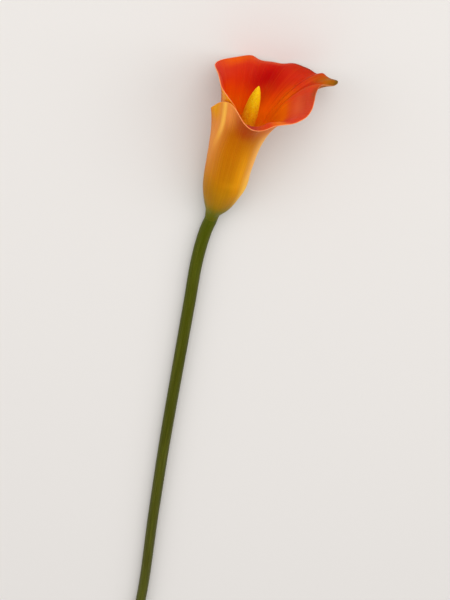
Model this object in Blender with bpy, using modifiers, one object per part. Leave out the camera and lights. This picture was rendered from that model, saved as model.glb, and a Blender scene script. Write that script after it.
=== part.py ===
# Calla lily flower, picked with a cut stem and lying on a surface.
# One sheet, the spathe, is rolled into a funnel round the spadix, and the stem carries both.
# Units are metres, +Z is up. The flower head points along +Y and its tail along +X.

import math

import bmesh
import bpy
import numpy as np

MM = 0.001

# placing of the whole flower and of its head
FLOWER_SHIFT = (0.0002, 0.1308, 0.0)
NECK_HEIGHT = 4.9 * MM
HEAD_RISE = math.radians(16.57)
HEAD_LEAN = math.radians(10.5)
HEAD_SIDESTEP = 3.4 * MM

# stem
STEM_RADIUS = 3.7 * MM
CORE_SIZE = 0.59
CORE_TOP = 7.0 * MM
# place on the ground in mm and share of the full radius, from the cut end to the head
STEM_ROUTE = (
    (-61.4, -349.0, 1.03),
    (-57.9, -331.0, 1.02),
    (-43.4, -234.6, 1.01),
    (-33.2, -169.5, 1.01),
    (-21.8, -103.2, 1.0),
    (-14.1, -58.8, 0.99),
    (-9.3, -31.2, 0.99),
    (-5.6, -16.6, 1.0),
)

# spathe
SHEET_THICKNESS = 1.0 * MM
SPIRAL_STEP = 1.85
FLARE_START = 46.0
OUTER_EDGE = -178.0
INNER_EDGE = 252.0
COLUMNS = 76
TUBE_ROWS = 9
FLARE_ROWS = 12

# height above the neck, radius and sideways place of the tube's centre line, in mm
TUBE_PROFILE = (
    (0.6, 3.2, -3.3),
    (3.0, 4.5, -2.7),
    (8.3, 6.9, -1.8),
    (12.3, 8.2, -1.3),
    (16.6, 9.4, -1.0),
    (24.6, 11.1, -0.3),
    (36.0, 11.35, -0.2),
    (46.0, 11.8, 0.1),
)

# angle round the tube from the tail, radius, height and outward lean of the rim, in degrees and mm
RIM = (
    (-178.0, 16.0, 70.5, 16.0),
    (-172.0, 15.8, 72.2, 14.0),
    (-166.0, 15.1, 74.5, 12.0),
    (-158.0, 14.8, 77.0, 12.0),
    (-148.0, 14.4, 79.8, 12.0),
    (-135.0, 14.4, 82.1, 12.0),
    (-122.0, 14.7, 83.2, 15.0),
    (-110.0, 15.6, 82.4, 22.0),
    (-100.0, 17.0, 80.7, 33.0),
    (-89.0, 19.9, 78.3, 54.0),
    (-80.0, 22.4, 77.3, 70.0),
    (-67.0, 25.2, 78.9, 80.0),
    (-58.0, 27.1, 82.3, 82.0),
    (-50.0, 29.2, 83.6, 84.0),
    (-41.0, 31.0, 83.9, 84.0),
    (-30.0, 33.1, 85.4, 80.0),
    (-20.0, 33.4, 86.4, 78.0),
    (-8.0, 33.1, 87.1, 76.0),
    (2.0, 33.5, 87.6, 76.0),
    (8.0, 34.7, 87.7, 78.0),
    (11.5, 35.9, 88.0, 80.0),
    (14.0, 38.0, 88.1, 86.0),
    (16.5, 41.8, 86.9, 90.0),
    (18.5, 45.6, 85.9, 92.0),
    (20.3, 48.0, 85.3, 94.0),
    (22.2, 49.7, 85.4, 96.0),
    (24.2, 48.5, 85.8, 94.0),
    (26.5, 46.8, 86.1, 92.0),
    (29.0, 45.3, 86.2, 90.0),
    (31.5, 44.3, 86.0, 88.0),
    (34.5, 43.6, 85.0, 86.0),
    (38.0, 42.6, 84.3, 84.0),
    (42.0, 40.9, 84.6, 82.0),
    (46.0, 39.4, 84.7, 82.0),
    (52.0, 37.3, 84.3, 81.0),
    (58.0, 34.9, 83.5, 80.0),
    (64.0, 32.3, 83.8, 79.0),
    (69.0, 30.3, 84.0, 78.0),
    (74.0, 29.2, 83.6, 78.0),
    (79.0, 29.0, 83.8, 80.0),
    (84.0, 29.5, 84.3, 81.0),
    (90.0, 29.9, 84.6, 82.0),
    (97.0, 29.3, 83.9, 80.0),
    (104.0, 28.4, 83.6, 78.0),
    (113.0, 27.0, 83.9, 72.0),
    (122.0, 25.8, 84.5, 66.0),
    (133.0, 24.3, 85.2, 58.0),
    (142.0, 22.2, 86.3, 52.0),
    (151.0, 20.0, 87.6, 48.0),
    (160.0, 18.0, 88.6, 44.0),
    (172.0, 16.1, 89.3, 40.0),
    (184.0, 15.2, 89.3, 36.0),
    (195.0, 15.0, 88.9, 34.0),
    (207.0, 15.3, 88.4, 34.0),
    (217.0, 15.3, 87.5, 34.0),
    (226.0, 14.6, 86.0, 32.0),
    (234.0, 13.4, 83.9, 22.0),
    (242.0, 12.0, 81.4, 10.0),
    (252.0, 10.8, 77.5, 2.0),
)

# spadix
SPADIX_BASE = (-2.3, 0.0, 7.4)
SPADIX_TIP = (5.4, 2.8, 85.4)
SPADIX_PROFILE = (
    (0.0, 0.0),
    (2.2, 0.0),
    (2.75, 0.5),
    (3.2, 5.0),
    (3.55, 20.0),
    (3.8, 45.0),
    (3.8, 58.0),
    (3.55, 64.0),
    (3.0, 69.0),
    (2.2, 73.2),
    (1.1, 76.6),
    (0.0, 78.4),
)


def smooth_table(rows, place):
    """Values of the table's further columns at a place in its first, on a smooth curve."""
    table = np.array(rows)
    keys = table[:, 0]
    values = table[:, 1:]
    place = min(max(place, keys[0]), keys[-1])
    i = min(max(int(np.searchsorted(keys, place)) - 1, 0), len(keys) - 2)
    slopes = np.gradient(values, keys, axis=0)
    span = keys[i + 1] - keys[i]
    t = (place - keys[i]) / span
    return (
        (2 * t**3 - 3 * t**2 + 1) * values[i]
        + (t**3 - 2 * t**2 + t) * span * slopes[i]
        + (3 * t**2 - 2 * t**3) * values[i + 1]
        + (t**3 - t**2) * span * slopes[i + 1]
    )


def ease(value, start, end):
    """0 before the start, 1 after the end, smooth between them."""
    t = min(max((value - start) / (end - start), 0.0), 1.0)
    return t * t * (3 - 2 * t)


def material(name, colour, roughness):
    made = bpy.data.materials.new(name)
    made.use_nodes = True
    surface = made.node_tree.nodes["Principled BSDF"]
    surface.inputs["Base Color"].default_value = (*colour, 1.0)
    surface.inputs["Roughness"].default_value = roughness
    return made


def tube_point(angle, height):
    """A point of the rolled tube, in mm: each layer lies outside the one that follows it."""
    radius, centre = smooth_table(TUBE_PROFILE, height)
    radius -= SPIRAL_STEP * angle / 360 * ease(height, 0.0, 6.0)
    return radius, centre


def sheet_angle(rim_angle, height):
    """The overlap closes toward the neck, where the sheet goes round the stem just once."""
    outer = -22.0 * (1 - ease(height, 46.0, 70.0)) * ease(-rim_angle, 60.0, -OUTER_EDGE)
    closing = -113.0 * (1 - ease(height, 6.0, 26.0))
    widening = 8.0 * (1 - ease(height, 60.0, 78.0))
    inner = (closing + widening) * ease(rim_angle, 60.0, INNER_EDGE)
    return rim_angle + outer + inner


def sheet_point(rim_angle, row):
    if row <= TUBE_ROWS:
        height = TUBE_PROFILE[0][0] + (FLARE_START - TUBE_PROFILE[0][0]) * (row / TUBE_ROWS) ** 1.25
        angle = sheet_angle(rim_angle, height)
        radius, centre = tube_point(angle, height)
    else:
        t = (row - TUBE_ROWS) / FLARE_ROWS
        rim_radius, rim_height, lean = smooth_table(RIM, rim_angle)
        start, centre = tube_point(sheet_angle(rim_angle, FLARE_START), FLARE_START)
        lean = math.radians(lean)
        chord = math.hypot(rim_radius - start, rim_height - FLARE_START)
        h0 = 2 * t**3 - 3 * t**2 + 1
        h1 = t**3 - 2 * t**2 + t
        h2 = 3 * t**2 - 2 * t**3
        h3 = t**3 - t**2
        radius = h0 * start + h1 * 0.07 * chord + h2 * rim_radius + h3 * chord * math.sin(lean)
        height = h0 * FLARE_START + h1 * chord + h2 * rim_height + h3 * chord * math.cos(lean)
        angle = sheet_angle(rim_angle, height)
    turn = math.radians(angle)
    return (radius * math.cos(turn) + centre, radius * math.sin(turn), height)


def column_angles():
    """Rim angles of the grid's columns, closer together at the narrow tail."""
    angles = np.linspace(OUTER_EDGE, INNER_EDGE, 2000)
    weight = 1 + 2.6 * np.exp(-(((angles - 19.0) / 12.0) ** 2))
    total = np.cumsum(weight) - weight[0]
    return np.interp(np.linspace(0, total[-1], COLUMNS + 1), total, angles)


def make_spathe(collection, parent):
    mesh = bpy.data.meshes.new("spathe")
    sheet = bmesh.new()
    rows = TUBE_ROWS + FLARE_ROWS
    bmesh.ops.create_grid(sheet, x_segments=COLUMNS, y_segments=rows, size=0.5)
    angles = column_angles()
    for vertex in sheet.verts:
        column = round((vertex.co.x + 0.5) * COLUMNS)
        row = round((vertex.co.y + 0.5) * rows)
        x, y, z = sheet_point(angles[column], row)
        vertex.co = (x * MM, y * MM, z * MM)
    bmesh.ops.recalc_face_normals(sheet, faces=sheet.faces[:])
    sheet.to_mesh(mesh)
    sheet.free()
    mesh.shade_smooth()
    mesh.materials.append(material("spathe orange", (0.78, 0.16, 0.02), 0.42))
    spathe = bpy.data.objects.new("spathe", mesh)
    collection.objects.link(spathe)
    spathe.parent = parent
    solid = spathe.modifiers.new("Thickness", "SOLIDIFY")
    solid.thickness = SHEET_THICKNESS
    solid.offset = 0.0
    return spathe


def make_spadix(collection, parent):
    profile = bpy.data.meshes.new("spadix")
    points = [(radius * MM, 0.0, height * MM) for radius, height in SPADIX_PROFILE]
    edges = [(i, i + 1) for i in range(len(points) - 1)]
    profile.from_pydata(points, edges, [])
    profile.materials.append(material("spadix yellow", (0.86, 0.47, 0.02), 0.6))
    spadix = bpy.data.objects.new("spadix", profile)
    collection.objects.link(spadix)
    spadix.parent = parent
    turned = spadix.modifiers.new("Turned", "SCREW")
    turned.steps = 20
    turned.render_steps = 20
    turned.use_merge_vertices = True
    turned.merge_threshold = 0.0001
    turned.use_smooth_shade = True
    turned.use_normal_flip = True
    base = np.array(SPADIX_BASE)
    lean = np.array(SPADIX_TIP) - base
    spadix.location = base * MM
    spadix.rotation_euler = (
        -math.asin(lean[1] / np.linalg.norm(lean)),
        math.atan2(lean[0], lean[2]),
        0.0,
    )
    return spadix


def make_stem(collection, parent, head):
    """Lies flat, then bends up at the neck into the head and ends as a core inside the spathe."""
    axis = np.array(head.matrix_world.to_3x3().col[2])
    neck = np.array((0.0, 0.0, NECK_HEIGHT))
    path = [(x * MM, y * MM, STEM_RADIUS * size, size) for x, y, size in STEM_ROUTE]
    path.append((-3.0 * MM, -8.9 * MM, STEM_RADIUS * 1.04, 1.0))
    for along, size in ((-4.0, 1.0), (-0.1, 1.0), (0.0, CORE_SIZE), (2.0, CORE_SIZE)):
        path.append((*(neck + axis * along * MM), size))
    path.append((*(neck + axis * CORE_TOP), CORE_SIZE))
    curve = bpy.data.curves.new("stem", "CURVE")
    curve.dimensions = "3D"
    curve.bevel_depth = STEM_RADIUS
    curve.bevel_resolution = 6
    curve.use_fill_caps = True
    spline = curve.splines.new("POLY")
    points = smooth_path(path)
    spline.points.add(len(points) - 1)
    for point, (x, y, z, radius) in zip(spline.points, points):
        point.co = (x, y, z, 1.0)
        point.radius = radius
    spline.use_smooth = True
    curve.materials.append(material("stem green", (0.07, 0.10, 0.01), 0.45))
    stem = bpy.data.objects.new("stem", curve)
    collection.objects.link(stem)
    stem.parent = parent
    return stem


def smooth_path(path):
    """Extra points on a smooth curve through the long spans of the route."""
    path = np.array(path)
    steps = np.linalg.norm(np.diff(path[:, :3], axis=0), axis=1)
    along = np.concatenate([[0.0], np.cumsum(steps)])
    table = np.column_stack([along, path])
    wanted = []
    for start, step in zip(along[:-1], steps):
        parts = max(1, round(step / 0.012))
        wanted.extend(start + step * i / parts for i in range(parts))
    wanted.append(along[-1])
    return [smooth_table(table, place) for place in wanted]


for old in list(bpy.data.objects):
    bpy.data.objects.remove(old)
flower = bpy.data.collections.new("calla_lily_flower")
bpy.context.scene.collection.children.link(flower)

whole = bpy.data.objects.new("flower", None)
whole.location = FLOWER_SHIFT
flower.objects.link(whole)

head = bpy.data.objects.new("head", None)
head.parent = whole
head.rotation_euler = (HEAD_RISE - math.pi / 2, 0.0, -HEAD_LEAN)
head.location = (
    HEAD_SIDESTEP * math.cos(HEAD_LEAN),
    -HEAD_SIDESTEP * math.sin(HEAD_LEAN),
    NECK_HEIGHT,
)
flower.objects.link(head)
bpy.context.view_layer.update()

make_spathe(flower, head)
make_spadix(flower, head)
make_stem(flower, whole, head)
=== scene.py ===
import math

import bmesh
import bpy
import numpy as np
from mathutils import Matrix, Vector


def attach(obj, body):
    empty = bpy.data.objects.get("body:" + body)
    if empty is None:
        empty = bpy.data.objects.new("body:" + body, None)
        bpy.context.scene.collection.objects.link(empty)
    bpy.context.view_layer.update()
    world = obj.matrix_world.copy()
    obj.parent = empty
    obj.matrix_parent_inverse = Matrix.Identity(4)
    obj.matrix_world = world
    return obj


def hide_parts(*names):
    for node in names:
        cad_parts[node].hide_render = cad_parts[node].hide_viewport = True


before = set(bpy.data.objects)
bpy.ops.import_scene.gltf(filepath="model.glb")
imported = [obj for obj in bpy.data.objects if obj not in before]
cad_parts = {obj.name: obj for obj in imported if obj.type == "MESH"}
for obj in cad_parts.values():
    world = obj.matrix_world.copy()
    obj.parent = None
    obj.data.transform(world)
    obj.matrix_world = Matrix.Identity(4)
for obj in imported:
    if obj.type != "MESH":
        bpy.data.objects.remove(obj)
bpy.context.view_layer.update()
print("frame loaded:", ", ".join(sorted(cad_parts)))

mm = 0.001


def eased(value, start, end):
    t = min(max((value - start) / (end - start), 0.0), 1.0)
    return t * t * (3 - 2 * t)


def bell(value, middle, width):
    return math.exp(-(((value - middle) / width) ** 2))


class Outline:
    # rows of (place, value, value, ...), read anywhere between on a smooth curve
    def __init__(self, rows):
        table = np.array(rows)
        self.places = table[:, 0]
        self.values = table[:, 1:]
        self.slopes = np.gradient(self.values, self.places, axis=0)

    def at(self, place):
        places = self.places
        place = min(max(place, places[0]), places[-1])
        i = min(max(int(np.searchsorted(places, place)) - 1, 0), len(places) - 2)
        span = places[i + 1] - places[i]
        t = (place - places[i]) / span
        return (
            (2 * t**3 - 3 * t**2 + 1) * self.values[i]
            + (t**3 - 2 * t**2 + t) * span * self.slopes[i]
            + (3 * t**2 - 2 * t**3) * self.values[i + 1]
            + (t**3 - t**2) * span * self.slopes[i + 1]
        )


def linear(red, green, blue):
    # screen colour out of 255 to the scene's linear colour
    made = []
    for part in (red, green, blue):
        part /= 255
        made.append(part / 12.92 if part <= 0.04045 else ((part + 0.055) / 1.055) ** 2.4)
    return (*made, 1.0)


class Reading:
    # one output of a node, so that shader maths reads as arithmetic
    def __init__(self, finish, socket):
        self.finish = finish
        self.socket = socket

    def math(self, operation, first, second=None):
        values = {0: first} if second is None else {0: first, 1: second}
        return self.finish.node("Math", {"operation": operation}, values)

    def __add__(self, other):
        return self.math("ADD", self, other)

    def __radd__(self, other):
        return self.math("ADD", other, self)

    def __sub__(self, other):
        return self.math("SUBTRACT", self, other)

    def __rsub__(self, other):
        return self.math("SUBTRACT", other, self)

    def __mul__(self, other):
        return self.math("MULTIPLY", self, other)

    def __rmul__(self, other):
        return self.math("MULTIPLY", other, self)

    def __truediv__(self, other):
        return self.math("DIVIDE", self, other)

    def __rtruediv__(self, other):
        return self.math("DIVIDE", other, self)


class Finish:
    def __init__(self, name, roughness, **constants):
        self.material = bpy.data.materials.new(name)
        self.material.use_nodes = True
        self.tree = self.material.node_tree
        self.surface = self.tree.nodes["Principled BSDF"]
        self.surface.inputs["Roughness"].default_value = roughness
        for socket, value in constants.items():
            self.surface.inputs[socket.replace("_", " ")].default_value = value

    def node(self, kind, settings=None, sockets=None, output=0):
        made = self.tree.nodes.new("ShaderNode" + kind)
        for name, value in (settings or {}).items():
            if name == "stops":
                self.setStops(made.color_ramp.elements, value)
            else:
                setattr(made, name, value)
        for name, value in (sockets or {}).items():
            self.plug(value, made.inputs[name])
        return Reading(self, made.outputs[output])

    def setStops(self, elements, stops):
        while len(elements) < len(stops):
            elements.new(1.0)
        for element, (place, colour) in zip(elements, stops):
            element.position = place
            element.color = colour

    def plug(self, value, socket):
        if isinstance(value, Reading):
            self.tree.links.new(value.socket, socket)
        else:
            socket.default_value = value

    def attribute(self, name):
        return self.node("Attribute", {"attribute_name": name}, output="Fac")

    def ramp(self, value, stops):
        return self.node("ValToRGB", {"stops": stops}, {0: value}, output="Color")

    def step(self, value, low, high):
        return self.node(
            "MapRange",
            {"interpolation_type": "SMOOTHSTEP"},
            {"Value": value, "From Min": low, "From Max": high},
            output="Result",
        )

    def hill(self, value, middle, width):
        # 1 at the middle, falling smoothly to 0 a width away on both sides
        away = self.node("Math", {"operation": "ABSOLUTE"}, {0: value - middle})
        return 1 - self.step(away, 0.0, width)

    def mix(self, factor, first, second):
        return self.node("Mix", {"data_type": "RGBA"}, {0: factor, 6: first, 7: second}, output=2)

    def spread(self, across, along, deep=0.0):
        return self.node("CombineXYZ", None, {0: across, 1: along, 2: deep})

    def noise(self, place, scale=1.0, detail=2.0, rough=0.5):
        sockets = {"Vector": place, "Scale": scale, "Detail": detail, "Roughness": rough}
        return self.node("TexNoise", None, sockets, output="Fac")

    def bump(self, height, distance, strength=1.0, under=None):
        sockets = {"Height": height, "Distance": distance, "Strength": strength}
        if under is not None:
            sockets["Normal"] = under
        return self.node("Bump", None, sockets, output="Normal")

    def objectPlace(self):
        return self.node("TexCoord", None, None, output="Object")

    def paint(self, **sockets):
        for name, value in sockets.items():
            self.plug(value, self.surface.inputs[name.replace("_", " ")])
        return self.material


def pieceFrom(shape, name, node, materials):
    # a bmesh becomes the visible piece that stands for one CAD node
    mesh = bpy.data.meshes.new(name)
    shape.to_mesh(mesh)
    shape.free()
    mesh.shade_smooth()
    for material in materials:
        mesh.materials.append(material)
    piece = bpy.data.objects.new(name, mesh)
    bpy.context.scene.collection.objects.link(piece)
    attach(piece, "root")
    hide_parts(node)
    return piece


# where the head sits on the stem, in metres and radians
neck = {
    "x": 0.0002,
    "y": 0.1308,
    "height": 0.0049,
    "rise": math.radians(16.57),
    "lean": math.radians(10.5),
    "sidestep": 0.0034,
}
tipped = Matrix.Rotation(neck["rise"] - math.pi / 2, 4, "X")
headTurn = Matrix.Rotation(-neck["lean"], 4, "Z") @ tipped
neckPlace = Vector((neck["x"], neck["y"], neck["height"]))
headPlace = Matrix.Translation(neckPlace) @ headTurn @ Matrix.Translation((neck["sidestep"], 0, 0))
headAxis = headTurn.to_3x3().col[2]


spathe = {
    "columns": 156,
    "tubeRows": 22,
    "flareRows": 42,
    "thickness": 1.0 * mm,
    "flareStart": 46.0,
    "outerEdge": -178.0,
    "innerEdge": 252.0,
    # how much closer each full turn lies, along the tube and at the foot
    "spiral": 1.85,
    "footSpiral": 0.3,
    # degrees that the free edges reach round below the rim, from the edgeStart angle on
    "edgeStart": 60.0,
    "outerReach": 22.0,
    "innerReach": 8.0,
    "footShort": 62.0,
    # how full the sheet leaves the tube
    "fullness": 0.07,
    # share of the thickness left at the rim and at the foot, and how wide the rim thins
    "rimShare": 0.5,
    "rimBand": 5.0,
    "footShare": 0.1,
    # crest that turns the edge over, all round and on the near lip
    "lipCrest": 0.3,
    "nearLip": 1.6,
    "nearLipAngle": -73.0,
    "nearLipWidth": 19.0,
    # height, waves a turn, start and slant of the slow swells
    "swells": ((0.4, 5, 40, 0), (0.14, 13, 0, 150)),
    # where there are none, round the tail
    "calmAngle": 24.0,
    "calmWidth": 14.0,
    "veinCount": 44,
    "veinHeight": 0.04,
    "veinWander": 0.6,
    # where the columns crowd together for the tail
    "tailAngle": 21.0,
    "tailWidth": 13.0,
    "tailCrowd": 2.8,
    "angleSteps": 3000,
    # angle, width and rise of the folds toward the tail
    "folds": ((26.0, 1.8, -0.2), (31.0, 1.5, -0.22), (36.5, 1.8, -0.15)),
    # height, radius, sideways place of the centre line
    "tube": (
        (-4.2, 3.3, -3.4),
        (-3.2, 3.6, -3.4),
        (-2.0, 3.76, -3.38),
        (0.6, 3.9, -3.27),
        (3.0, 4.6, -2.55),
        (8.3, 6.7, -1.5),
        (12.3, 8.0, -1.1),
        (16.6, 9.25, -0.85),
        (24.6, 10.95, -0.15),
        (36.0, 11.3, -0.15),
        (46.0, 11.8, 0.1),
    ),
    # angle from the tail, radius, height, outward lean of the rim
    "rim": (
        (-178.0, 16.0, 70.5, 16.0),
        (-172.0, 15.8, 72.2, 14.0),
        (-166.0, 15.1, 74.5, 12.0),
        (-158.0, 14.8, 77.0, 12.0),
        (-148.0, 14.4, 79.8, 12.0),
        (-135.0, 14.4, 82.1, 12.0),
        (-122.0, 14.7, 83.2, 15.0),
        (-110.0, 15.6, 82.4, 22.0),
        (-100.0, 17.0, 80.7, 33.0),
        (-89.0, 19.9, 78.3, 54.0),
        (-80.0, 22.4, 77.3, 64.0),
        (-67.0, 25.2, 78.9, 66.0),
        (-58.0, 27.1, 82.3, 66.0),
        (-50.0, 29.2, 83.6, 68.0),
        (-41.0, 31.0, 83.9, 72.0),
        (-30.0, 33.1, 85.4, 72.0),
        (-20.0, 33.4, 86.4, 70.0),
        (-8.0, 33.1, 87.1, 66.0),
        (2.0, 33.5, 87.6, 64.0),
        (8.0, 34.7, 87.7, 70.0),
        (11.5, 35.9, 88.0, 80.0),
        (14.0, 38.0, 88.5, 86.0),
        (16.5, 41.8, 87.0, 90.0),
        (18.5, 45.6, 85.6, 92.0),
        (20.3, 48.2, 85.2, 94.0),
        (21.4, 49.3, 85.5, 95.0),
        (22.5, 49.7, 85.9, 96.0),
        (24.2, 48.5, 85.7, 94.0),
        (26.5, 46.8, 85.4, 92.0),
        (29.0, 45.3, 85.9, 90.0),
        (31.0, 44.4, 86.5, 88.0),
        (32.5, 44.0, 85.6, 87.0),
        (34.0, 43.7, 84.5, 86.0),
        (36.0, 43.3, 83.8, 85.0),
        (37.6, 42.7, 84.1, 84.0),
        (39.6, 41.8, 84.7, 83.0),
        (42.0, 40.9, 84.8, 82.0),
        (46.0, 39.4, 84.9, 82.0),
        (52.0, 37.3, 85.0, 81.0),
        (55.0, 36.1, 84.3, 80.0),
        (58.0, 34.9, 83.4, 80.0),
        (64.0, 32.3, 83.7, 79.0),
        (69.0, 30.3, 84.1, 78.0),
        (74.0, 29.2, 83.9, 78.0),
        (79.0, 29.0, 83.8, 80.0),
        (84.0, 29.5, 84.3, 81.0),
        (87.0, 29.9, 84.8, 82.0),
        (91.0, 29.9, 84.5, 82.0),
        (97.0, 29.3, 83.9, 80.0),
        (104.0, 28.4, 83.6, 78.0),
        (113.0, 27.0, 83.9, 72.0),
        (122.0, 25.8, 84.5, 66.0),
        (133.0, 24.3, 85.2, 58.0),
        (142.0, 22.2, 86.3, 52.0),
        (151.0, 20.0, 87.6, 48.0),
        (160.0, 18.0, 88.6, 44.0),
        (172.0, 16.1, 89.3, 40.0),
        (184.0, 15.2, 89.3, 36.0),
        (195.0, 15.0, 88.9, 34.0),
        (207.0, 15.3, 88.4, 34.0),
        (217.0, 15.3, 87.5, 34.0),
        (226.0, 14.6, 86.0, 32.0),
        (234.0, 13.4, 83.9, 22.0),
        (242.0, 12.0, 81.4, 10.0),
        (252.0, 10.8, 77.5, 2.0),
    ),
}
tubeOutline = Outline(spathe["tube"])
rimOutline = Outline(spathe["rim"])


def layerAngle(rimAngle, height):
    # the two free edges reach further round lower down, and the inner one less at the foot
    start = spathe["edgeStart"]
    outer = -spathe["outerReach"] * (1 - eased(height, spathe["flareStart"], 70.0))
    outer *= eased(-rimAngle, start, -spathe["outerEdge"])
    inner = spathe["innerReach"] * (1 - eased(height, 60.0, 78.0))
    inner -= spathe["footShort"] * (1 - eased(height, 6.0, 26.0))
    return rimAngle + outer + inner * eased(rimAngle, start, spathe["innerEdge"])


def tubeAt(angle, height):
    radius, centre = tubeOutline.at(height)
    low = spathe["footSpiral"]
    step = low + (spathe["spiral"] - low) * eased(height, -1.0, 8.0)
    return radius - step * angle / 360, centre


def relief(rimAngle, t, lean):
    # what stands up from the flare, t going from the tube to the rim
    flat = eased(lean, 30.0, 75.0)
    short = 1 - eased(t, 0.88, 1.0)
    spread = eased(t, 0.3, 0.7)
    near = bell(rimAngle, spathe["nearLipAngle"], spathe["nearLipWidth"])
    crest = spathe["lipCrest"] + spathe["nearLip"] * near
    rise = crest * flat * eased(t, 0.7, 0.9) * (1 - eased(t, 0.9, 1.0))
    calm = 1 - bell(rimAngle, spathe["calmAngle"], spathe["calmWidth"])
    for size, waves, begin, slant in spathe["swells"]:
        wave = math.sin(math.radians(waves * rimAngle + begin + slant * t))
        rise += size * flat * calm * short * spread * wave
    # the folded lines that run out into the tail
    for middle, width, size in spathe["folds"]:
        rise += size * short * spread * bell(rimAngle, middle, width)
    return rise


def sheetPoint(rimAngle, row):
    # one point of the sheet, in mm in the head's own frame; t runs up the flare from 0 to 1
    rows = spathe["tubeRows"]
    start = spathe["flareStart"]
    if row <= rows:
        foot = spathe["tube"][0][0]
        height = foot + (start - foot) * (row / rows) ** 1.15
        angle = layerAngle(rimAngle, height)
        radius, centre = tubeAt(angle, height)
        t = 0.0
    else:
        t = (row - rows) / spathe["flareRows"]
        rimRadius, rimHeight, lean = rimOutline.at(rimAngle)
        waist, centre = tubeAt(layerAngle(rimAngle, start), start)
        chord = math.hypot(rimRadius - waist, rimHeight - start)
        # shares of a smooth curve that leaves the tube upright and meets the rim at its lean
        fromWaist = t**3 - 2 * t**2 + t
        atRim = 3 * t**2 - 2 * t**3
        toRim = (t**3 - t**2) * chord
        outward = math.sin(math.radians(lean))
        upward = math.cos(math.radians(lean))
        radius = (1 - atRim) * waist + atRim * rimRadius
        radius += fromWaist * spathe["fullness"] * chord + toRim * outward
        height = (1 - atRim) * start + atRim * rimHeight + fromWaist * chord + toRim * upward
        angle = layerAngle(rimAngle, height)
        height += relief(rimAngle, t, lean)
    veined = eased(height, 2.0, 14.0) * (1 - 0.7 * eased(t, 0.85, 1.0))
    vein = math.radians(spathe["veinCount"] * rimAngle)
    vein = vein + spathe["veinWander"] * math.sin(height / 9)
    radius += spathe["veinHeight"] * veined * math.sin(vein)
    turn = math.radians(angle)
    return Vector((radius * math.cos(turn) + centre, radius * math.sin(turn), height))


def columnAngles():
    # closer together where the tail is narrow
    angles = np.linspace(spathe["outerEdge"], spathe["innerEdge"], spathe["angleSteps"])
    away = (angles - spathe["tailAngle"]) / spathe["tailWidth"]
    weight = 1 + spathe["tailCrowd"] * np.exp(-(away**2))
    total = np.cumsum(weight) - weight[0]
    return np.interp(np.linspace(0, total[-1], spathe["columns"] + 1), total, angles)


def spatheSheet():
    rows = spathe["tubeRows"] + spathe["flareRows"]
    columns = spathe["columns"]
    angles = columnAngles()
    grid = [[sheetPoint(angle, row) for row in range(rows + 1)] for angle in angles]
    shape = bmesh.new()
    bmesh.ops.create_grid(shape, x_segments=columns, y_segments=rows, size=0.5)
    names = ("rimAngle", "height", "rimGap")
    layers = {name: shape.verts.layers.float.new(name) for name in names}
    thickness = shape.verts.layers.deform.new("thickness")
    for vertex in shape.verts:
        column = round((vertex.co.x + 0.5) * columns)
        row = round((vertex.co.y + 0.5) * rows)
        point = grid[column][row]
        borders = (grid[column][rows], grid[0][row], grid[columns][row])
        gap = min((point - border).length for border in borders)
        vertex.co = headPlace @ (point * mm)
        vertex[layers["rimAngle"]] = angles[column]
        vertex[layers["height"]] = point.z
        vertex[layers["rimGap"]] = gap
        rimShare, footShare = spathe["rimShare"], spathe["footShare"]
        thin = rimShare + (1 - rimShare) * eased(gap, 0.0, spathe["rimBand"])
        low = footShare + (1 - footShare) * eased(point.z, spathe["tube"][0][0], 10.0)
        vertex[thickness][0] = thin * low
    return shape


def spatheCoordinates(finish):
    # degrees from the tail, mm above the neck, mm from the nearest edge
    return [finish.attribute(name) for name in ("rimAngle", "height", "rimGap")]


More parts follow.
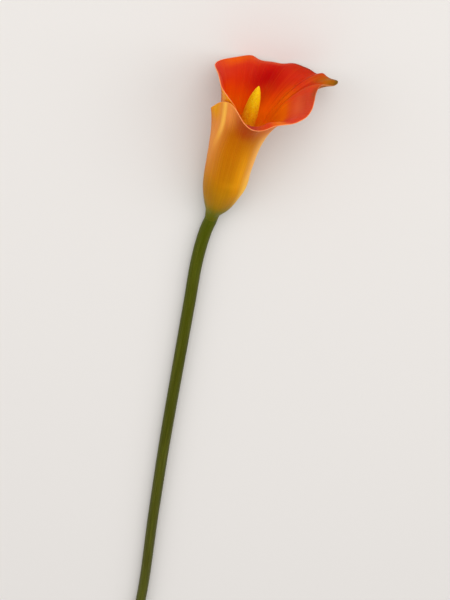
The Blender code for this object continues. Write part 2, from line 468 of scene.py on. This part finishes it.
def outsideFinish():
    finish = Finish(
        "spathe outside",
        0.42,
        Subsurface_Weight=0.25,
        Subsurface_Scale=0.0014,
        Subsurface_Radius=(1.0, 0.45, 0.05),
        IOR=1.15,
        Specular_IOR_Level=0.5,
        Specular_Tint=linear(255, 190, 110),
    )
    angle, height, gap = spatheCoordinates(finish)
    broad = finish.noise(finish.spread(angle * 0.05, height * 0.045), 1.0, 2.0)
    share = (height + (broad - 0.5) * 9 + 5) / 95
    colour = finish.ramp(share, [
        (0.0, linear(72, 84, 4)),
        (0.08, linear(90, 98, 6)),
        (0.13, linear(112, 106, 4)),
        (0.2, linear(158, 114, 0)),
        (0.3, linear(180, 120, 0)),
        (0.42, linear(190, 116, 0)),
        (0.6, linear(194, 110, 0)),
        (0.74, linear(188, 98, 0)),
        (0.84, linear(186, 84, 4)),
        (0.96, linear(204, 96, 20)),
    ])
    # painted shade on the lower left of the tube
    shade = finish.hill(angle, -128.0, 34.0) * finish.hill(height, 22.0, 14.0)
    colour = finish.mix(shade * 0.4, colour, linear(150, 98, 0))
    amber = finish.hill(angle, -62.0, 26.0) * finish.hill(height, 40.0, 30.0)
    colour = finish.mix(amber * 0.85, colour, linear(236, 156, 4))
    # rust under the near rim
    rust = finish.hill(angle, -82.0, 30.0) * finish.step(height, 62.0, 70.0)
    colour = finish.mix(rust, colour, linear(178, 64, 0))
    # painted rim light: peach down both flanks, lighter where the sides catch the surrounding
    # light
    left = finish.hill(angle, -148.0, 44.0) * finish.step(height, 22.0, 56.0)
    right = finish.hill(angle, -24.0, 38.0) * finish.step(height, 10.0, 36.0)
    colour = finish.mix(left * 0.75, colour, linear(236, 148, 70))
    colour = finish.mix(right, colour, linear(255, 182, 86))
    shoulder = finish.hill(angle, -44.0, 26.0) * finish.step(height, 63.0, 73.0)
    colour = finish.mix(shoulder * 0.85, colour, linear(216, 108, 46))
    # painted highlight low on the right flank
    lowerRightHighlight = finish.hill(angle, -34.0, 26.0) * finish.hill(height, 25.0, 18.0)
    colour = finish.mix(lowerRightHighlight * 0.8, colour, linear(255, 194, 56))
    # painted light: a lighter band round the waist where the tube's slope changes
    waist = finish.hill(angle, -66.0, 50.0) * finish.hill(height, 31.5, 4.0)
    colour = finish.mix(waist * 0.3, colour, linear(232, 160, 24))
    under = finish.hill(angle, 80.0, 70.0) * finish.step(height, 20.0, 60.0)
    colour = finish.mix(under * 0.35, colour, linear(222, 116, 44))
    # the overlap: salmon, a pale streak of painted highlight where the flap curls, and a yellow
    # corner
    blush = finish.hill(angle, -119.0, 27.0) * finish.step(height, 64.0, 77.0)
    colour = finish.mix(blush * 0.8, colour, linear(246, 150, 70))
    # painted highlight down the flap's curl
    curlHighlight = finish.hill(angle, -134.0, 10.0) * finish.step(height, 46.0, 76.0)
    colour = finish.mix(curlHighlight, colour, linear(255, 190, 80))
    corner = finish.hill(angle, -162.0, 27.0) * finish.step(height, 64.0, 74.0)
    colour = finish.mix(corner, colour, linear(228, 150, 0))
    # painted light: the inner margin's outside, which sits in shade behind the flap, is lifted to
    # a bright orange
    innerEdge = finish.step(angle, 150.0, 180.0) * finish.step(height, 70.0, 80.0)
    colour = finish.mix(innerEdge * 0.9, colour, linear(246, 152, 10))
    # veins from foot to rim
    veins = finish.noise(finish.spread(angle * 0.5, height * 0.016), 1.0, 3.0, 0.55)
    colour = finish.mix(finish.step(veins, 0.5, 0.74) * 0.24, colour, linear(166, 80, 0))
    colour = finish.mix(finish.step(veins, 0.5, 0.28) * 0.16, colour, linear(228, 156, 26))
    grain = finish.noise(finish.objectPlace(), 2600.0, 3.0, 0.6)
    colour = finish.mix(finish.step(grain, 0.45, 0.75) * 0.12, colour, linear(244, 172, 40))
    # browned, green-tipped tail
    tail = finish.hill(angle, 21.5, 12.0) * finish.step(gap, 12.0, 3.0)
    tail = tail * finish.step(height, 81.0, 84.0)
    colour = finish.mix(tail * 0.85, colour, linear(150, 92, 8))
    tip = finish.hill(angle, 22.0, 6.0) * finish.step(gap, 3.5, 0.8)
    tip = tip * finish.step(height, 82.0, 84.0)
    colour = finish.mix(tip * 0.9, colour, linear(84, 80, 16))
    edge = finish.step(gap, 0.6, 0.1) * finish.step(height, 20.0, 50.0)
    colour = finish.mix(edge * 0.5, colour, linear(244, 150, 60))
    rough = 0.38 + grain * 0.16
    fine = finish.noise(finish.spread(angle * 1.5, height * 0.12), 1.0, 2.0)
    normal = finish.bump(veins, 0.0003, 0.5)
    normal = finish.bump(fine * 0.5 + grain * 0.5, 0.0001, 0.5, normal)
    return finish.paint(Base_Color=colour, Roughness=rough, Normal=normal)


def insideFinish():
    finish = Finish(
        "spathe inside",
        0.4,
        Subsurface_Weight=0.35,
        Subsurface_Scale=0.0016,
        Subsurface_Radius=(1.0, 0.35, 0.05),
        IOR=1.2,
        Specular_IOR_Level=0.4,
        Specular_Tint=linear(255, 150, 110),
    )
    angle, height, gap = spatheCoordinates(finish)
    broad = finish.noise(finish.spread(angle * 0.045, height * 0.05), 1.0, 2.0)
    share = (height + (broad - 0.5) * 7) / 92
    # painted light: the throat is painted brighter than its own orange, standing in for light
    # shining through the thin sheet
    colour = finish.ramp(share, [
        (0.0, linear(232, 170, 20)),
        (0.35, linear(255, 170, 10)),
        (0.62, linear(255, 146, 4)),
        (0.7, linear(246, 112, 2)),
        (0.78, linear(228, 76, 2)),
        (0.84, linear(212, 50, 8)),
        (0.89, linear(206, 50, 24)),
        (0.95, linear(206, 62, 34)),
    ])
    # deep crimson on the far side, in a wide red band
    red = finish.hill(angle, 70.0, 52.0) * finish.hill(height, 79.0, 11.0)
    colour = finish.mix(red * 0.7, colour, linear(200, 30, 16))
    crimson = finish.hill(angle, 64.0, 30.0) * finish.hill(height, 79.5, 9.0)
    colour = finish.mix(crimson, colour, linear(178, 0, 6))
    # painted shadow of the spadix on the far wall
    spadixShadow = finish.hill(angle, 57.0, 13.0) * finish.hill(height, 71.5, 8.0)
    colour = finish.mix(spadixShadow * 0.55, colour, linear(176, 46, 0))
    # pink flush on the left
    pink = finish.hill(angle, 136.0, 34.0) * finish.step(height, 75.0, 82.0)
    colour = finish.mix(pink * 0.8, colour, linear(202, 56, 36))
    # clear orange fan on the near right, coral on the lobe above it and on the lip
    fan = finish.step(angle, 48.0, 24.0) * finish.step(height, 82.0, 75.0)
    fan = fan * finish.step(height, 58.0, 66.0)
    streaks = finish.noise(finish.spread(angle * 0.4, height * 0.03), 1.0, 3.0, 0.55)
    colour = finish.mix(fan * (0.7 + streaks * 0.6), colour, linear(232, 112, 2))
    lobe = finish.hill(angle, -10.0, 38.0) * finish.step(height, 76.0, 83.5)
    upper = finish.step(height, 81.5, 86.0)
    lobeColour = finish.mix(upper, linear(216, 88, 40), linear(192, 60, 30))
    colour = finish.mix(lobe, colour, lobeColour)
    nearRim = finish.hill(angle, -52.0, 12.0) * finish.step(height, 78.5, 81.0)
    colour = finish.mix(nearRim * 0.9, colour, linear(224, 108, 14))
    lip = finish.hill(angle, -80.0, 26.0) * finish.step(gap, 9.0, 5.0)
    colour = finish.mix(lip, colour, linear(166, 50, 34))
    # orange and paler coral along the far rim
    top = finish.hill(angle, 104.0, 36.0) * finish.step(gap, 6.5, 1.5)
    colour = finish.mix(top * 0.85, colour, linear(224, 90, 4))
    pale = finish.hill(angle, 66.0, 26.0) * finish.step(gap, 3.2, 0.6)
    colour = finish.mix(pale * 0.5, colour, linear(206, 96, 62))
    far = finish.hill(angle, 43.0, 16.0) * finish.step(gap, 9.0, 2.0)
    colour = finish.mix(far * 0.6, colour, linear(168, 30, 6))
    # painted shade along the fold lines, painted light on the ridges between them, and a browner
    # zone toward the tail
    nearTail = finish.hill(angle, 25.0, 15.0) * finish.step(height, 82.0, 86.0)
    colour = finish.mix(nearTail * 0.9, colour, linear(178, 56, 2))
    fine = finish.noise(finish.spread(angle * 1.1, height * 0.02), 1.0, 2.0, 0.5)
    fanned = finish.hill(angle, 32.0, 28.0) * finish.step(height, 64.0, 74.0)
    fanned = fanned * finish.step(gap, 1.0, 6.0)
    colour = finish.mix(finish.step(fine, 0.5, 0.7) * fanned * 0.45, colour, linear(170, 34, 4))
    colour = finish.mix(finish.step(fine, 0.46, 0.28) * fanned * 0.35, colour, linear(228, 96, 18))
    # painted shade in the fold grooves
    folds = finish.hill(angle, 25.8, 2.4) + finish.hill(angle, 31.6, 2.0) * 0.7
    folds = folds * finish.step(height, 66.0, 77.0) * finish.step(gap, 3.0, 9.0)
    colour = finish.mix(folds * 0.45, colour, linear(166, 34, 2))
    # painted light along the ridges beside the folds
    ridgeLight = finish.hill(angle, 28.6, 1.8) + finish.hill(angle, 21.0, 3.4)
    ridgeLight = ridgeLight * finish.step(height, 66.0, 77.0) * finish.step(gap, 3.0, 9.0)
    colour = finish.mix(ridgeLight * 0.2, colour, linear(222, 92, 24))
    # veins
    veins = finish.noise(finish.spread(angle * 0.6, height * 0.016), 1.0, 3.0, 0.6)
    colour = finish.mix(finish.step(veins, 0.52, 0.76) * 0.25, colour, linear(182, 20, 4))
    colour = finish.mix(finish.step(veins, 0.48, 0.24) * 0.16, colour, linear(226, 98, 24))
    grain = finish.noise(finish.objectPlace(), 2800.0, 3.0, 0.6)
    colour = finish.mix(finish.step(grain, 0.45, 0.8) * 0.07, colour, linear(232, 100, 56))
    # tail, its dried end, and the browned rim on both sides of it
    tail = finish.hill(angle, 21.5, 11.0) * finish.step(gap, 13.0, 4.0)
    tail = tail * finish.step(height, 82.0, 85.0)
    colour = finish.mix(tail * 0.9, colour, linear(172, 108, 16))
    dried = finish.hill(angle, 21.0, 8.0) * finish.step(gap, 7.0, 2.5)
    dried = dried * finish.step(height, 82.0, 84.0)
    colour = finish.mix(dried * 0.75, colour, linear(146, 78, 4))
    tip = finish.hill(angle, 22.0, 6.0) * finish.step(gap, 3.0, 0.8)
    tip = tip * finish.step(height, 82.0, 84.0)
    colour = finish.mix(tip * 0.85, colour, linear(96, 82, 18))
    browned = finish.hill(angle, 4.0, 16.0) * finish.step(gap, 3.6, 0.4)
    colour = finish.mix(browned * 0.75, colour, linear(146, 66, 14))
    scorched = finish.hill(angle, 42.0, 14.0) * finish.step(gap, 1.8, 0.3)
    colour = finish.mix(scorched * 0.8, colour, linear(116, 40, 16))
    dry = finish.hill(angle, 34.0, 40.0)
    edge = finish.step(gap, 0.5, 0.1)
    dryColour = finish.mix(dry, linear(236, 128, 66), linear(140, 60, 14))
    colour = finish.mix(edge * 0.6, colour, dryColour)
    rough = 0.4 + grain * 0.14
    tiny = finish.noise(finish.spread(angle * 1.6, height * 0.1), 1.0, 2.0)
    normal = finish.bump(veins, 0.0003, 0.5)
    normal = finish.bump(tiny * 0.5 + grain * 0.5, 0.0001, 0.5, normal)
    return finish.paint(Base_Color=colour, Roughness=rough, Normal=normal)


def edgeFinish():
    finish = Finish("spathe edge", 0.45, Subsurface_Weight=0.2, Subsurface_Scale=0.001)
    angle, height, gap = spatheCoordinates(finish)
    patches = finish.noise(finish.objectPlace(), 260.0, 2.0)
    worn = finish.step(patches, 0.35, 0.65)
    colour = finish.mix(worn, linear(244, 158, 88), linear(238, 132, 66))
    flap = finish.hill(angle, -136.0, 34.0)
    colour = finish.mix(flap * 0.85, colour, linear(232, 150, 56))
    # browner along the far rim beside the tail, greener at the foot
    beside = finish.hill(angle, 6.0, 22.0)
    colour = finish.mix(beside * 0.85, colour, linear(170, 74, 30))
    far = finish.hill(angle, 50.0, 32.0)
    colour = finish.mix(far * 0.9, colour, linear(128, 56, 28))
    tail = finish.hill(angle, 22.0, 9.0)
    colour = finish.mix(tail * 0.9, colour, linear(120, 92, 20))
    colour = finish.mix(finish.step(height, 16.0, 4.0), colour, linear(100, 100, 14))
    normal = finish.bump(patches, 0.0001, 0.4)
    return finish.paint(Base_Color=colour, Normal=normal)


spathePiece = pieceFrom(
    spatheSheet(), "rolledSpathe", "spathe",
    (outsideFinish(), insideFinish(), edgeFinish()),
)
spathePiece.vertex_groups.new(name="thickness")
wall = spathePiece.modifiers.new("wall", "SOLIDIFY")
wall.thickness = spathe["thickness"]
wall.offset = 0.0
wall.vertex_group = "thickness"
wall.material_offset = 1
wall.material_offset_rim = 2
smooth = spathePiece.modifiers.new("smooth", "SUBSURF")
smooth.levels = 1
smooth.render_levels = 1
print("spathe rolled:", len(spathePiece.data.vertices), "points in the sheet")


spadix = {
    "base": (-2.3, 0.0, 7.4),
    "tip": (5.4, 2.8, 85.4),
    "around": 120,
    "rows": 330,
    # how far the middle bends aside, and the rounded end above the profile
    "bend": 0.9,
    "cap": 0.12,
    # florets in a row, row spacing, turn from row to row, bump and its reach
    "floretsAround": 24,
    "floretRow": 0.92,
    "floretTurn": 0.13,
    "floretHeight": 0.13,
    "floretReach": 0.58,
    # radius at which the florets' spacing is measured
    "meanRadius": 3.5,
    # height, radius
    "profile": (
        (0.0, 2.4),
        (1.0, 2.9),
        (5.0, 3.2),
        (20.0, 3.55),
        (45.0, 3.8),
        (58.0, 3.8),
        (64.0, 3.55),
        (69.0, 3.0),
        (73.2, 2.15),
        (76.0, 1.3),
        (77.6, 0.65),
        (78.3, 0.25),
    ),
}
spadixOutline = Outline(spadix["profile"])


def floretAt(turn, height):
    # how near this spot is to the middle of a floret, and that floret's own tint from 0 to 1
    row = math.floor(height / spadix["floretRow"] + 0.5)
    nearest, floret = 9.0, 0
    count = spadix["floretsAround"]
    for near in (row - 1, row, row + 1):
        slot = turn / (2 * math.pi) * count + 0.5 * (near % 2) + spadix["floretTurn"] * near
        column = math.floor(slot + 0.5)
        across = (slot - column) / count * 2 * math.pi * spadix["meanRadius"]
        along = height - near * spadix["floretRow"]
        distance = math.hypot(across, along)
        if distance < nearest:
            nearest, floret = distance, near * 131 + column % count
    dome = max(0.0, 1 - (nearest / spadix["floretReach"]) ** 2)
    return dome, (math.sin(floret * 12.9898) * 43758.5453) % 1.0


def spadixBody():
    shape = bmesh.new()
    length = spadix["profile"][-1][0]
    rows = spadix["rows"]
    steps = [length * i / rows for i in range(rows + 1)]
    points = [shape.verts.new((spadixOutline.at(step)[0], 0.0, step)) for step in steps]
    foot = shape.verts.new((0.0, 0.0, 0.0))
    top = shape.verts.new((0.0, 0.0, length + spadix["cap"]))
    points = [foot, *points, top]
    edges = [shape.edges.new(pair) for pair in zip(points[:-1], points[1:])]
    bmesh.ops.spin(
        shape, geom=points + edges, cent=(0, 0, 0), axis=(0, 0, 1), dvec=(0, 0, 0),
        angle=2 * math.pi, steps=spadix["around"], use_merge=True, use_duplicate=False,
    )
    bmesh.ops.remove_doubles(shape, verts=shape.verts[:], dist=0.0005)
    bmesh.ops.recalc_face_normals(shape, faces=shape.faces[:])
    layers = {name: shape.verts.layers.float.new(name) for name in ("climb", "dome", "tint")}
    base = Vector(spadix["base"])
    lean = (Vector(spadix["tip"]) - base).normalized()
    leaning = Vector((0, 0, 1)).rotation_difference(lean).to_matrix().to_4x4()
    stand = Matrix.Translation(base) @ leaning
    for vertex in shape.verts:
        x, y, z = vertex.co
        radius = math.hypot(x, y)
        dome, tint = floretAt(math.atan2(y, x), z)
        raised = spadix["floretHeight"] * (0.75 + 0.5 * tint) * dome * eased(radius, 0.2, 1.6)
        if radius > 0.01:
            vertex.co.x += x / radius * raised
            vertex.co.y += y / radius * raised
        vertex[layers["climb"]] = z / length
        vertex[layers["dome"]] = dome
        vertex[layers["tint"]] = tint
        # a slow bend keeps it from standing ruler straight
        vertex.co.x += spadix["bend"] * math.sin(math.pi * z / length)
        vertex.co = headPlace @ ((stand @ vertex.co) * mm)
    return shape


def spadixFinish():
    finish = Finish(
        "spadix florets",
        0.6,
        Subsurface_Weight=0.2,
        Subsurface_Scale=0.001,
        Subsurface_Radius=(1.0, 0.6, 0.1),
        Specular_IOR_Level=0.2,
        Specular_Tint=linear(255, 200, 90),
    )
    climb = finish.attribute("climb")
    dome = finish.attribute("dome")
    tint = finish.attribute("tint")
    patch = finish.noise(finish.objectPlace(), 420.0, 3.0, 0.6)
    colour = finish.ramp(climb + (patch - 0.5) * 0.16, [
        (0.0, linear(236, 140, 0)),
        (0.5, linear(252, 152, 0)),
        (0.76, linear(255, 184, 0)),
        (0.9, linear(255, 226, 0)),
        (1.0, linear(255, 218, 14)),
    ])
    colour = finish.mix((1 - dome) * 0.45, colour, linear(222, 116, 0))
    colour = finish.mix(finish.step(tint, 0.6, 1.0) * dome * 0.6, colour, linear(254, 222, 60))
    colour = finish.mix(finish.step(tint, 0.3, 0.0) * 0.4, colour, linear(214, 122, 6))
    pollen = finish.noise(finish.objectPlace(), 4200.0, 2.0, 0.6)
    colour = finish.mix(finish.step(pollen, 0.5, 0.75) * 0.4, colour, linear(255, 226, 90))
    normal = finish.bump(pollen, 0.00012, 0.7)
    return finish.paint(Base_Color=colour, Roughness=0.5 + pollen * 0.3, Normal=normal)


spadixPiece = pieceFrom(spadixBody(), "spadixFlorets", "spadix", (spadixFinish(),))
print("spadix turned:", len(spadixPiece.data.vertices), "points")


stem = {
    "radius": 3.7,
    "around": 56,
    "spacing": 3.2,
    "length": 365.0,
    # ring just inside the cut, which keeps the cut's edge crisp
    "firstRing": 0.3,
    "ribs": 13,
    "ribHeight": 0.035,
    "ribTwist": 0.004,
    # rings across the cut: size and depth as shares of the radius, and how much skin they are
    "cutRings": (
        (0.985, 0.0, 0.98),
        (0.92, 0.0, 0.92),
        (0.78, 0.04, 0.75),
        (0.5, 0.07, 0.45),
        (0.24, 0.06, 0.15),
    ),
    "rind": 0.95,
    # where it lifts off the ground: x, y and height over the radius, and its size
    "lift": (-3.0, -8.9, 1.04, 1.0),
    # place along the head's axis and size, up to the thin core inside the spathe
    "neck": ((-4.0, 1.0), (0.0, 0.99), (7.0, 0.59)),
    # x and y from the neck, share of the full radius
    "route": (
        (-61.4, -349.0, 1.03),
        (-57.9, -331.0, 1.02),
        (-43.4, -234.6, 1.01),
        (-33.2, -169.5, 1.01),
        (-21.8, -103.2, 1.0),
        (-14.1, -58.8, 0.99),
        (-9.3, -31.2, 0.99),
        (-5.6, -16.6, 1.0),
    ),
}


def stemStations():
    # middle of the stem in mm from the neck's foot on the ground, with its size
    path = [(x, y, stem["radius"] * size, size) for x, y, size in stem["route"]]
    x, y, height, size = stem["lift"]
    path.append((x, y, stem["radius"] * height, size))
    top = Vector((0, 0, neck["height"] / mm))
    for along, size in stem["neck"]:
        path.append((*(top + headAxis * along), size))
    path = np.array(path)
    steps = np.linalg.norm(np.diff(path[:, :3], axis=0), axis=1)
    along = np.concatenate([[0.0], np.cumsum(steps)])
    outline = Outline(np.column_stack([along, path]))
    count = round(along[-1] / stem["spacing"])
    places = np.insert(np.linspace(0.0, along[-1], count + 1), 1, stem["firstRing"])
    return [(place, outline.at(place)) for place in places]


def stationMatrix(stations, i):
    here = Vector(stations[i][1][:3])
    ahead = Vector(stations[min(i + 1, len(stations) - 1)][1][:3])
    behind = Vector(stations[max(i - 1, 0)][1][:3])
    turned = (ahead - behind).to_track_quat("Z", "Y").to_matrix().to_4x4()
    return Matrix.Translation(here) @ turned @ Matrix.Scale(stem["radius"] * stations[i][1][3], 4)


def stemStalk():
    stations = stemStations()
    shape = bmesh.new()
    names = ("ringX", "ringY", "fromCut", "skin")
    layers = {name: shape.verts.layers.float.new(name) for name in names}
    bmesh.ops.create_circle(shape, segments=stem["around"], radius=1.0, cap_ends=True)
    cutFace = shape.faces[:][0]
    # the cut end: a thin skin round a slightly sunken, paler middle
    for size, depth, skin in stem["cutRings"]:
        bmesh.ops.inset_region(shape, faces=[cutFace], thickness=0.01, use_boundary=True)
        for vertex in cutFace.verts:
            vertex.co = Vector((vertex.co.x, vertex.co.y, 0)).normalized() * size
            vertex.co.z = depth
            vertex[layers["skin"]] = skin
    for vertex in bmesh.ops.poke(shape, faces=[cutFace])["verts"]:
        vertex[layers["skin"]] = 0.0
    edges = [edge for edge in shape.edges if edge.is_boundary]
    for vertex in {end for edge in edges for end in edge.verts}:
        vertex[layers["ringX"]] = vertex.co.x
        vertex[layers["ringY"]] = vertex.co.y
        vertex[layers["skin"]] = 1.0
    previous = stationMatrix(stations, 0)
    bmesh.ops.transform(shape, matrix=previous, verts=shape.verts[:])
    for i in range(1, len(stations)):
        grown = bmesh.ops.extrude_edge_only(shape, edges=edges)["geom"]
        ring = [part for part in grown if isinstance(part, bmesh.types.BMVert)]
        edges = [part for part in grown if isinstance(part, bmesh.types.BMEdge)]
        matrix = stationMatrix(stations, i)
        bmesh.ops.transform(shape, matrix=matrix @ previous.inverted(), verts=ring)
        previous = matrix
        for vertex in ring:
            vertex[layers["fromCut"]] = stations[i][0]
    bmesh.ops.holes_fill(shape, edges=edges, sides=stem["around"])
    bmesh.ops.recalc_face_normals(shape, faces=shape.faces[:])
    for face in shape.faces:
        if all(vertex[layers["skin"]] < stem["rind"] for vertex in face.verts):
            face.material_index = 1
    # shallow ribs down the skin
    shape.normal_update()
    for vertex in shape.verts:
        if vertex[layers["skin"]] == 1.0:
            turn = math.atan2(vertex[layers["ringY"]], vertex[layers["ringX"]])
            twist = stem["ribTwist"] * vertex[layers["fromCut"]]
            rib = math.cos(stem["ribs"] * turn + twist)
            vertex.co += Vector(vertex.normal) * stem["ribHeight"] * (rib - 1)
    ground = Matrix.Translation((neck["x"], neck["y"], 0)) @ Matrix.Scale(mm, 4)
    bmesh.ops.transform(shape, matrix=ground, verts=shape.verts[:])
    return shape


def stemFinish():
    finish = Finish(
        "stem skin",
        0.42,
        Subsurface_Weight=0.08,
        Subsurface_Scale=0.001,
        IOR=1.22,
        Specular_IOR_Level=0.5,
        Specular_Tint=linear(235, 240, 150),
    )
    ringX = finish.attribute("ringX")
    ringY = finish.attribute("ringY")
    along = finish.attribute("fromCut")
    spot = finish.objectPlace()
    # fibres run down the stem; the ring's own place keeps them free of a seam
    fibres = finish.noise(finish.spread(ringX * 7.5, ringY * 7.5, along * 0.045), 1.0, 4.0, 0.6)
    broad = finish.noise(finish.spread(ringX * 1.6, ringY * 1.6, along * 0.03), 1.0, 2.0)
    colour = finish.ramp(along / stem["length"], [
        (0.0, linear(70, 70, 8)),
        (0.4, linear(64, 66, 2)),
        (0.8, linear(66, 70, 2)),
        (0.95, linear(70, 78, 2)),
        (1.0, linear(88, 92, 8)),
    ])
    colour = finish.mix(finish.step(broad, 0.42, 0.7) * 0.45, colour, linear(84, 88, 16))
    colour = finish.mix(finish.step(fibres, 0.5, 0.72) * 0.4, colour, linear(44, 48, 0))
    colour = finish.mix(finish.step(fibres, 0.5, 0.3) * 0.35, colour, linear(96, 100, 30))
    specks = finish.noise(spot, 1500.0, 2.0, 0.5)
    colour = finish.mix(finish.step(specks, 0.62, 0.75) * 0.35, colour, linear(118, 118, 56))
    normal = finish.bump(fibres, 0.0002, 0.6)
    normal = finish.bump(specks, 0.00006, 0.5, normal)
    return finish.paint(Base_Color=colour, Roughness=0.36 + fibres * 0.2, Normal=normal)


def cutFinish():
    finish = Finish("stem cut face", 0.5, Subsurface_Weight=0.15, Subsurface_Scale=0.001)
    skin = finish.attribute("skin")
    spot = finish.objectPlace()
    bundles = finish.node("TexVoronoi", None, {"Vector": spot, "Scale": 1500.0}, output="Distance")
    fleck = finish.noise(spot, 2200.0, 3.0, 0.6)
    colour = finish.ramp(skin, [
        (0.0, linear(196, 204, 138)),
        (0.5, linear(180, 192, 110)),
        (0.8, linear(134, 150, 56)),
        (0.95, linear(92, 104, 24)),
    ])
    colour = finish.mix(finish.step(bundles, 0.35, 0.1) * 0.5, colour, linear(112, 122, 44))
    colour = finish.mix(fleck * 0.25, colour, linear(226, 226, 178))
    normal = finish.bump(bundles * 0.6 + fleck * 0.4, 0.0002, 0.6)
    return finish.paint(Base_Color=colour, Roughness=0.4 + fleck * 0.25, Normal=normal)


stemPiece = pieceFrom(stemStalk(), "stemStalk", "stem", (stemFinish(), cutFinish()))
print("stem drawn:", len(stemPiece.data.vertices), "points")


studio = {
    "floorSize": 4.0,
    "floorColour": (226, 223, 220),
    "floorCloud": (230, 226, 222),
    "world": (1.0, 0.995, 0.99),
    "worldStrength": 0.66,
    # place, size, power, colour
    "lamps": (
        ("headLamp", (0.3, 1.45, 1.5), (1.8, 1.2), 16.0, (1.0, 0.99, 0.98)),
        ("leftLamp", (-1.7, 0.45, 1.2), (1.6, 1.2), 8.0, (1.0, 0.98, 0.96)),
        ("rightLamp", (1.7, 0.4, 1.1), (1.6, 1.2), 8.5, (1.0, 0.98, 0.96)),
    ),
    "aim": (0.0, 0.1, 0.0),
}


def floorFinish():
    finish = Finish("floor", 0.85, Specular_IOR_Level=0.2)
    cloud = finish.noise(finish.objectPlace(), 3.0, 2.0)
    plain, clouded = (linear(*studio[name]) for name in ("floorColour", "floorCloud"))
    return finish.paint(Base_Color=finish.mix(cloud * 0.25, plain, clouded))


def floorSheet():
    shape = bmesh.new()
    bmesh.ops.create_grid(shape, x_segments=4, y_segments=4, size=studio["floorSize"])
    mesh = bpy.data.meshes.new("floor")
    shape.to_mesh(mesh)
    shape.free()
    mesh.materials.append(floorFinish())
    floor = bpy.data.objects.new("floor", mesh)
    bpy.context.scene.collection.objects.link(floor)


def lamp(name, place, size, power, colour):
    light = bpy.data.lights.new(name, "AREA")
    light.shape = "RECTANGLE"
    light.size, light.size_y = size
    light.energy = power
    light.color = colour
    holder = bpy.data.objects.new(name, light)
    holder.location = place
    toward = Vector(studio["aim"]) - Vector(place)
    holder.rotation_euler = toward.to_track_quat("-Z", "Y").to_euler()
    bpy.context.scene.collection.objects.link(holder)


floorSheet()
for name, place, size, power, colour in studio["lamps"]:
    lamp(name, place, size, power, colour)
world = bpy.data.worlds.new("studio")
world.use_nodes = True
sky = world.node_tree.nodes["Background"].inputs
sky["Color"].default_value = (*studio["world"], 1.0)
sky["Strength"].default_value = studio["worldStrength"]
bpy.context.scene.world = world
bpy.context.scene.view_settings.view_transform = "Standard"

view = {
    "place": (0.00723, 0.34261, 0.43619),
    "tilt": -32.0,
    "lens": 51.0,
    "nearest": 0.01,
}
camera = bpy.data.objects.new("camera", bpy.data.cameras.new("camera"))
camera.data.lens = view["lens"]
camera.data.clip_start = view["nearest"]
camera.location = view["place"]
camera.rotation_euler = (math.radians(view["tilt"]), 0.0, 0.0)
bpy.context.scene.collection.objects.link(camera)
bpy.context.scene.camera = camera
print("studio ready")
